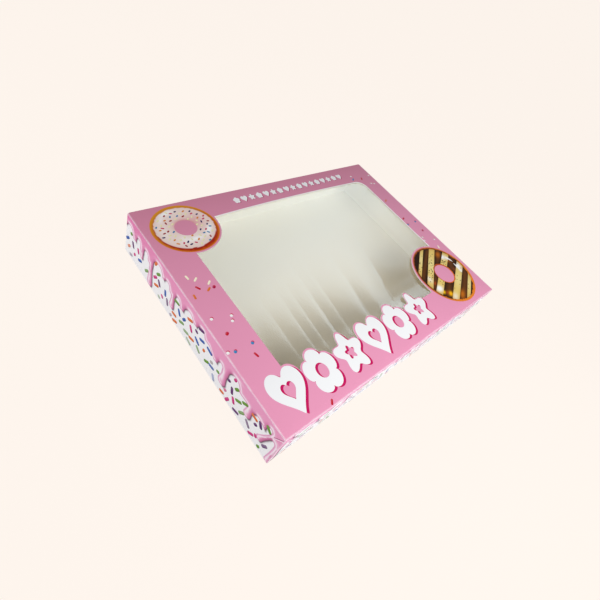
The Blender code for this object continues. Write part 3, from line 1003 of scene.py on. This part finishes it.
# A thin white line is painted on the top along the window's right and back edges: a painted highlight for the white
# cut edge catching the light.
EDGE_HIGHLIGHT_WIDTH = 1.3
round_x = WINDOW_RIGHT - WINDOW_ROUND * (1 - np.cos(np.linspace(0, np.pi / 2, 25)))
line_end = ICED["centre"][0] + ICED["radii"][0] + MARGIN
back_x = np.r_[round_x, np.linspace(WINDOW_RIGHT - WINDOW_ROUND, line_end, 120)[1:]]
line_start = front_edge(np.array([WINDOW_RIGHT]))[0]
line_x = np.r_[np.full(12, WINDOW_RIGHT), back_x[1:]]
line_y = np.r_[np.linspace(line_start, WINDOW_BACK - WINDOW_ROUND, 12), back_edge(back_x[1:])]
run_x, run_y = np.gradient(line_x), np.gradient(line_y)
run = np.hypot(run_x, run_y)
out = np.linspace(0, EDGE_HIGHLIGHT_WIDTH, 3)[None, :]
x = line_x[:, None] + out * (run_y / run)[:, None]
y = line_y[:, None] - out * (run_x / run)[:, None]
# The painted highlight of the window's cut edge.
printed_on_lid("window_edge_highlight", [top_patch(x, y, linear(252, 251, 250), TOP_LIFT)])

iced_hole = ((48.2, 249.0), (12.9, 11.8))
iced_edge = ((48.2, 250.0), (35.0, 31.6))
iced_line = ((47.9, 248.8), (35.9, 33.6))
x, y, angle, share = rings_between(iced_hole, iced_edge, 24)
ruddy = np.exp(-share * 6.5) * (0.45 + 0.55 * np.cos(angle - 1.5)) + 0.5 * blob(x, y, (66, 256), (9, 12))
icing = mix_ink(linear(241, 222, 214), linear(220, 138, 146), 0.85 * ruddy)
icing = mix_ink(icing, linear(232, 200, 196), 0.7 * np.exp(-(1 - share) * 8))
for middle, radii, lean, strength in (
    ((37, 276), (9, 3), 15, 1.0), ((27, 268), (5, 2.5), 45, 0.6), ((71.5, 238.5), (8, 2.8), 48, 1.2),
    ((50, 230.5), (11, 3), 4, 1.0), ((38, 234), (5, 4), 0, 0.5), ((22, 250), (4, 8), 0, 0.4),
):
    icing = mix_ink(icing, linear(253, 253, 252), strength * blob(x, y, middle, radii, lean))
patches = [top_patch(x, y, icing)]
x, y, angle, share = rings_between(iced_edge, iced_line, 4)
front_side = (0.5 - 0.5 * np.sin(angle)) ** 0.7
patches.append(top_patch(x, y, mix_ink(linear(212, 140, 62), linear(166, 36, 14), 1.2 * front_side - 0.1)))
x, y, angle, share = rings_between(iced_line, (ICED["centre"], ICED["radii"]), 7)
front_side = 0.5 - 0.5 * np.sin(angle - 0.3)
rim = mix_ink(linear(212, 138, 36), linear(205, 78, 12), 1.25 * front_side - 0.2)
rim = mix_ink(rim, linear(150, 52, 12), 0.6 * front_side * np.exp(-(((share - 0.3) / 0.22) ** 2)))
patches.append(top_patch(x, y, mix_ink(rim, linear(238, 162, 40), 0.45 * np.exp(-(((share - 0.72) / 0.2) ** 2)))))
printed_on_lid("iced_doughnut_print", patches)

SMALL_INKS = np.array([
    linear(44, 32, 92), linear(158, 26, 34), linear(204, 58, 96), linear(222, 134, 52), linear(62, 126, 172),
    linear(240, 234, 182),
])
SMALL_COUNT = 66
rng = np.random.default_rng(11)
turn = (np.arange(SMALL_COUNT) * 2.39996) % (2 * np.pi)
reach = np.sqrt(np.linspace(0.2, 0.86, SMALL_COUNT))
places = np.c_[48.2 + 34.5 * reach * np.cos(turn), 249.8 + 31.2 * reach * np.sin(turn)]
places += rng.uniform(-1, 1, places.shape)
inks = SMALL_INKS[rng.permutation(np.arange(SMALL_COUNT) % 8).clip(0, 5)]
angles = np.radians(rng.normal(35, 22, SMALL_COUNT) + 90 * (rng.uniform(size=SMALL_COUNT) < 0.25))
u, v, ink = capsules(places, angles, rng.uniform(3.2, 4.1, SMALL_COUNT), np.full(SMALL_COUNT, 1.9), inks, 0.2)
layers = STRAND_STEP * (np.arange(SMALL_COUNT) % 4)[:, None, None]
printed_on_lid("iced_doughnut_strands", [top_patch(u, v, ink, TOP_LIFT + layers)])

# ==== The striped doughnut printed on the lid ====
# A chocolate doughnut with slanted cream stripes, printed in the right front corner. The die follows its rim.

# Each stripe: how far it lies from the hole's middle, its width, and its slant in degrees.
STRIPES = ((36.4, 5.0, 35), (20.6, 9.0, 35), (2.6, 10.0, 29.5), (-21.3, 10.0, 29.4), (-38.9, 5.2, 31))
HOLE, HOLE_RIM = 15.2, 1.9
(striped_x, striped_y), striped_radii = STRIPED["centre"], STRIPED["radii"]
GLAZE = ((striped_x - 0.6, striped_y + 0.7), (46.4, 45.6))
PALE_SPOTS = (
    ((25, 22.5), (5.5, 4.5), -30, 1.1), ((32.5, 15), (3.2, 6), 20, 1.0), ((37, 0), (4.6, 6.5), -10, 1.2),
    ((34, -9), (3, 3), 0, 0.8), ((-33.5, -14.5), (5.5, 4.5), 0, 1.3), ((-34.5, 3), (4.5, 6), 0, 0.55),
    ((-20.5, -34.5), (6.5, 4), 30, 0.5),
)
x, y, angle, share = rings_between((STRIPED["centre"], (HOLE + HOLE_RIM, HOLE + HOLE_RIM)), GLAZE, 26, 145)
u, v = x - striped_x, y - striped_y
band = v * math.cos(math.radians(31.5)) - u * math.sin(math.radians(31.5))
warm = np.interp(
    band,
    (-42, -31, -26, -16, -9, -2, 7, 12, 17, 25, 29.5, 34, 41), (0, 1, 0, 0, 0.9, 0, 0, 0.9, 0, 0, 1, 0, 0),
)
shell = mix_ink(linear(44, 23, 5), linear(102, 58, 19), warm)
shell = mix_ink(shell, linear(38, 18, 8), 0.7 * np.exp(-(((share - 1) / 0.1) ** 2)) + 0.5 * np.exp(-((share / 0.12) ** 2)))
for middle, radii, tint, strength in (
    ((22, 28.5), (6, 3.4), linear(192, 106, 16), 1.0), ((29.5, 12.5), (3, 2.5), linear(168, 88, 22), 0.9),
    ((-5.5, -37.5), (8.5, 3.4), linear(196, 108, 16), 1.0), ((-23.5, -28.3), (3.8, 2.6), linear(255, 186, 8), 1.4),
    ((-32, -21.8), (3, 1.8), linear(255, 200, 10), 1.3), ((-27, -24.5), (3, 2), linear(176, 74, 18), 0.9),
    ((-32.5, -5.5), (3.4, 1.5), linear(184, 78, 26), 0.9), ((24, -2), (4, 3), linear(132, 66, 28), 0.7),
):
    shell = mix_ink(shell, tint, strength * blob(u, v, middle, radii, 30))
patches = [top_patch(x, y, shell)]
hole_middle = (striped_x - 0.6, striped_y - 0.4)
x, y, angle, share = rings_between((hole_middle, (HOLE, HOLE)), (STRIPED["centre"], (HOLE + HOLE_RIM, HOLE + HOLE_RIM)), 4)
patches.append(top_patch(x, y, mix_ink(linear(182, 82, 34), linear(228, 112, 40), 0.55 + 0.6 * np.cos(angle + 0.9))))
x, y, angle, share = rings_between(GLAZE, (STRIPED["centre"], striped_radii), 5, 145)
rim = mix_ink(linear(168, 76, 34), linear(234, 130, 32), 0.55 + 0.7 * np.cos(angle + 0.9))
patches.append(top_patch(x, y, mix_ink(rim, linear(238, 148, 66), 0.35 * share)))
printed_on_lid("striped_doughnut_print", patches)


def stripe_patches(middle, width, slant):
    """One cream stripe across the doughnut. Over its width it runs from rim to rim, by the chord's length, and
    stops at the hole, so a stripe that meets the hole is two surfaces."""
    across = np.linspace(middle - width / 2, middle + width / 2, 9)
    rim = np.sqrt(np.maximum(45.2**2 - across**2, 0))
    gap = np.sqrt(np.maximum((HOLE + HOLE_RIM) ** 2 - across**2, 0))
    runs = [(-rim, -gap), (gap, rim)] if gap.max() > 0 else [(-rim, rim)]
    cos, sin = math.cos(math.radians(slant)), math.sin(math.radians(slant))
    found = []
    for start, end in runs:
        share = np.linspace(0, 1, 61)[None, :]
        along = start[:, None] * (1 - share) + end[:, None] * share
        u, v = along * cos - across[:, None] * sin, along * sin + across[:, None] * cos
        edge = np.abs(across - middle)[:, None] / (width / 2) + 0 * along
        cream = mix_ink(linear(233, 205, 116), linear(222, 186, 98), edge**2)
        cream = mix_ink(cream, linear(240, 226, 160), 0.7 * blob(along, across[:, None], (4, middle), (16, width)))
        cream = mix_ink(cream, linear(178, 122, 62), 0.45 * (np.hypot(u, v) / 45.2) ** 14)
        for spot, radii, lean, strength in PALE_SPOTS:
            cream = mix_ink(cream, linear(255, 255, 252), strength * blob(u, v, spot, radii, lean))
        found.append(top_patch(striped_x + u, striped_y + v, cream, TOP_LIFT))
    return found


printed_on_lid("striped_doughnut_stripes", [patch for stripe in STRIPES for patch in stripe_patches(*stripe)])

# White glints curve across the glaze on the right: arcs about the hole, each a reach, the angles where it starts
# and ends, and half its width in the middle.
GLINTS = ((36.6, 35, 13, 1.5), (34.2, 11, -20, 1.7))
glints = []
for reach, start, end, half in GLINTS:
    share = np.linspace(0, 1, 25)[:, None]
    turn = np.radians(start * (1 - share) + end * share)
    out = reach + half * np.sin(np.pi * share) * np.linspace(-1, 1, 5)[None, :]
    glints.append(top_patch(striped_x + out * np.cos(turn), striped_y + out * np.sin(turn), linear(252, 252, 250),
                            TOP_LIFT + INK_LAYER))
printed_on_lid("striped_doughnut_glints", glints)

# Dark specks lie on the stripes, most of them near the hole.
SPECK_COUNT = 66
rng = np.random.default_rng(8)
stripe = rng.choice(np.array(STRIPES), SPECK_COUNT, p=(0.12, 0.32, 0.22, 0.28, 0.06))
along = rng.normal(0, 15, SPECK_COUNT)
aside = stripe[:, 0] + rng.uniform(-0.42, 0.42, SPECK_COUNT) * stripe[:, 1]
along = np.where(np.hypot(along, aside) < HOLE + 3, np.copysign(HOLE + 4 + np.abs(along) / 2, along), along)
lean = np.radians(stripe[:, 2])
places = np.c_[striped_x + along * np.cos(lean) - aside * np.sin(lean),
               striped_y + along * np.sin(lean) + aside * np.cos(lean)]
inks = np.repeat([linear(28, 20, 8)], SPECK_COUNT, 0)
u, v, ink = capsules(places, lean, rng.uniform(1.2, 1.9, SPECK_COUNT), np.full(SPECK_COUNT, 1.15), inks, 0.4)
printed_on_lid("striped_doughnut_specks", [top_patch(u, v, ink, TOP_LIFT + INK_LAYER)])

# ==== Sweets printed along the lid ====
# White sugar sweets stand in a row along the front, and a row of tiny ones along the back. Each has a deep pink
# shadow to its right.

SWEET_WHITE = linear(245, 246, 247)
SWEET_SHADOW = linear(200, 26, 96)
SWEET_HOLES = {"heart": 0.38, "flower": 0.34, "star": 0.34}
SMALL_SWEETS = 17
SMALL_HALF = (4.7, 5.4)


def sweet_rings(kind, middle, half, hole, shift=(0, 0)):
    """One sweet as a ring between its hole and its outline. A flower's hole is round, and the others' holes
    have the sweet's own shape. The hole's share of 0 closes it."""
    turn = np.radians(np.linspace(0, 360, 121))[:, None]
    share = np.linspace(0, 1, 5)[None, :]
    outline = sweet_outline(kind, turn)
    bore = (np.sin(turn), np.cos(turn)) if kind == "flower" else outline
    place = []
    for axis in (0, 1):
        reach = bore[axis] * hole * (1 - share) + outline[axis] * share
        place.append(middle[axis] + shift[axis] + reach * half[axis])
    return place


patches = []
for kind, middle in zip(SWEETS, SWEET_PLACES):
    patches.append(top_patch(*sweet_rings(kind, middle, SWEET_HALF, SWEET_HOLES[kind], (2.2, -1.9)), SWEET_SHADOW))
    patches.append(top_patch(*sweet_rings(kind, middle, SWEET_HALF, SWEET_HOLES[kind]), SWEET_WHITE, TOP_LIFT))
for number in range(SMALL_SWEETS):
    kind = ("flower", "heart", "star")[number % 3]
    middle = (133 + 12.1 * number, DEPTH - 18.2)
    patches.append(top_patch(*sweet_rings(kind, middle, SMALL_HALF, 0, (0.8, -0.7)), linear(176, 66, 104)))
    patches.append(top_patch(*sweet_rings(kind, middle, SMALL_HALF, 0), SWEET_WHITE, TOP_LIFT))
printed_on_lid("sweets_print", patches)

# ==== Loose sprinkles printed on the lid ====
# A few strands and sugar beads are printed on the plain pink, down the left side and up the right one. The
# beads have a red shadow behind them.

CREAM, RED, ORANGE = linear(255, 246, 216), linear(200, 28, 48), linear(226, 118, 48)
BLUE, CRIMSON, BEAD_WHITE = linear(60, 136, 190), linear(176, 20, 70), linear(250, 248, 246)
# Each strand: its place from the lid's left and back edges, its angle in degrees, and its ink.
LOOSE_STRANDS = (
    (30.6, 119, 42, CREAM), (20, 110, 40, CREAM), (13.3, 104.7, 98, CREAM), (16.6, 120.6, 122, RED),
    (25.8, 211.3, 105, RED), (60.7, 286, 51, RED), (25.9, 126.3, 35, ORANGE), (8.1, 129, 85, ORANGE),
    (367.5, 33, 60, RED), (367.5, 129.5, 20, RED), (349, 30.5, 40, BLUE),
    (377.5, 196, 70, CREAM), (370, 88, 35, ORANGE),
)
LOOSE_BEADS = (
    (28.9, 163.6, BEAD_WHITE), (26.4, 169.3, BEAD_WHITE), (9, 158.7, BEAD_WHITE), (2.9, 197.2, BEAD_WHITE),
    (29.8, 199.1, BLUE), (9.8, 199.3, BLUE), (32, 126.2, CRIMSON), (351, 23, BEAD_WHITE),
    (389, 29.5, BEAD_WHITE), (377.5, 47, BEAD_WHITE), (383, 49, BEAD_WHITE), (367, 171, BEAD_WHITE),
    (364.5, 177, BEAD_WHITE), (385, 182, BEAD_WHITE), (364.5, 142, BLUE), (384, 142, BLUE), (380, 161, CRIMSON),
    (13.3, 179.6, RED),
)


def loose_layer(places, ink, angle, length, width, lift, shade):
    """Loose strands or beads of those places, one stack of surfaces."""
    places = np.array(places, float)
    places[:, 1] = DEPTH - places[:, 1]
    count = len(places)
    size = np.full(count, length), np.full(count, width)
    u, v, ink = capsules(places, np.radians(angle), *size, np.array(ink), shade)
    return top_patch(u, v, ink, lift)


strand_places, strand_angles, strand_inks = zip(*((strand[:2], strand[2], strand[3]) for strand in LOOSE_STRANDS))
bead_places, bead_inks = zip(*((bead[:2], bead[2]) for bead in LOOSE_BEADS))
bead_angles = np.zeros(len(bead_places))
shadow_places = np.array(bead_places) + (0.8, -0.8)
printed_on_lid("loose_sprinkles", [
    loose_layer(strand_places, strand_inks, np.array(strand_angles), 6.2, 2.3, TOP_LIFT, 0.25),
    loose_layer(shadow_places, [linear(206, 52, 88)] * len(bead_places), bead_angles, 3.5, 3.4, INK_LIFT, 0),
    loose_layer(bead_places, bead_inks, bead_angles, 3.3, 3.2, TOP_LIFT, 0.2),
])

# ==== Floor, light and camera ====
# A plain pale floor, soft studio light from the left and above, and the camera above the left front corner.

FLOOR_TINT = linear(253, 244, 236)
FLOOR_BOUNCE = (0.88, 0.86, 0.87)
floor_mesh = bpy.data.meshes.new("studio_floor")
floor_mesh.from_pydata([(-30, -30, 0), (30, -30, 0), (30, 30, 0), (-30, 30, 0)], [], [(0, 1, 2, 3)])
studio_floor = bpy.data.objects.new("studio_floor", floor_mesh)
studio_floor.location.z = -0.0002
bpy.context.scene.collection.objects.link(studio_floor)
floor_paint = bpy.data.materials.new("Studio floor")
floor_paint.use_nodes = True
floor_shader = floor_paint.node_tree.nodes["Principled BSDF"]
floor_shader.inputs["Base Color"].default_value = (*(FLOOR_TINT * 0.05), 1)
floor_shader.inputs["Roughness"].default_value = 0.9
floor_shader.inputs["Specular IOR Level"].default_value = 0
floor_shader.inputs["Emission Strength"].default_value = 0.97
seen_by = floor_paint.node_tree.nodes.new("ShaderNodeLightPath")
floor_glow = floor_paint.node_tree.nodes.new("ShaderNodeMix")
floor_glow.data_type = "RGBA"
floor_glow.inputs["A"].default_value = (*FLOOR_BOUNCE, 1)
floor_glow.inputs["B"].default_value = (*FLOOR_TINT, 1)
floor_paint.node_tree.links.new(seen_by.outputs["Is Camera Ray"], floor_glow.inputs["Factor"])
floor_paint.node_tree.links.new(floor_glow.outputs["Result"], floor_shader.inputs["Emission Color"])
floor_mesh.materials.append(floor_paint)

scene = bpy.context.scene
scene.view_settings.view_transform = "Standard"
world = bpy.data.worlds.new("Studio")
world.use_nodes = True
scene.world = world
world_light = world.node_tree.nodes["Background"]
world_light.inputs["Color"].default_value = (*linear(250, 250, 252), 1)
WORLD_LIGHT, WORLD_SEEN = 0.42, 0.95
seen = world.node_tree.nodes.new("ShaderNodeLightPath").outputs["Is Camera Ray"]
strength = maths(world.node_tree, "MULTIPLY_ADD", seen, WORLD_SEEN - WORLD_LIGHT, WORLD_LIGHT)
world.node_tree.links.new(strength, world_light.inputs["Strength"])


def soft_light(name, place, aim, size, power, colour=(1, 1, 1)):
    """A rectangular softbox at place, turned to face aim."""
    lamp = bpy.data.lights.new(name, "AREA")
    lamp.shape = "RECTANGLE"
    lamp.size, lamp.size_y = size
    lamp.energy = power
    lamp.color = colour
    light = bpy.data.objects.new(name, lamp)
    light.location = place
    light.rotation_euler = (Vector(aim) - Vector(place)).to_track_quat("-Z", "Y").to_euler()
    bpy.context.scene.collection.objects.link(light)
    return light


key_light = soft_light("key_light", (-0.03, -0.45, 0.4), (0.03, -0.1, 0.05), (0.5, 0.3), 2.05)
fill_light = soft_light("fill_light", (-1.0, 0.6, 0.55), (0, 0, 0.03), (0.8, 0.8), 4.2)
key_light.visible_glossy = False
fill_light.visible_glossy = False

# Softboxes over the back right, which only the film mirrors: a wide one, and one further back that adds to it.
lit_by_softboxes = bpy.data.collections.new("lit_by_softboxes")
lit_by_softboxes.objects.link(window_film)
for name, place, size, strength in (
    ("film_softbox", (1.3, 1.11, 1.2), (3.2, 1.6), 2.65), ("far_film_softbox", (2.4, 1.34, 1.2), (2.0, 1.1), 3.2),
):
    glow = bpy.data.lights.new(name, "AREA")
    glow.shape = "RECTANGLE"
    glow.size, glow.size_y = size
    glow.energy = strength * math.pi * size[0] * size[1]
    glow.color = (0.785, 0.935, 1.05)
    film_softbox = bpy.data.objects.new(name, glow)
    film_softbox.location = place
    film_softbox.rotation_euler = (0, 0, math.radians(-9))
    bpy.context.scene.collection.objects.link(film_softbox)
    film_softbox.visible_diffuse = False
    film_softbox.visible_camera = False
    film_softbox.light_linking.receiver_collection = lit_by_softboxes

CAMERA_PLACE = Vector((-0.36222, -0.17911, 0.39007))
CAMERA_FORWARD = Vector((0.62203, 0.36185, -0.69436)).normalized()
CAMERA_RIGHT = Vector((0.72361, -0.60442, 0.33326))
camera_right = (CAMERA_RIGHT - CAMERA_FORWARD * CAMERA_RIGHT.dot(CAMERA_FORWARD)).normalized()
camera_up = camera_right.cross(CAMERA_FORWARD)
lens = bpy.data.cameras.new("camera")
lens.lens = 25.01
lens.sensor_width = 36
lens.shift_y = -0.0421
lens.clip_start = 0.01
camera = bpy.data.objects.new("camera", lens)
camera.matrix_world = Matrix.Translation(CAMERA_PLACE) @ Matrix(
    (camera_right, camera_up, -CAMERA_FORWARD)
).transposed().to_4x4()
scene.collection.objects.link(camera)
scene.camera = camera
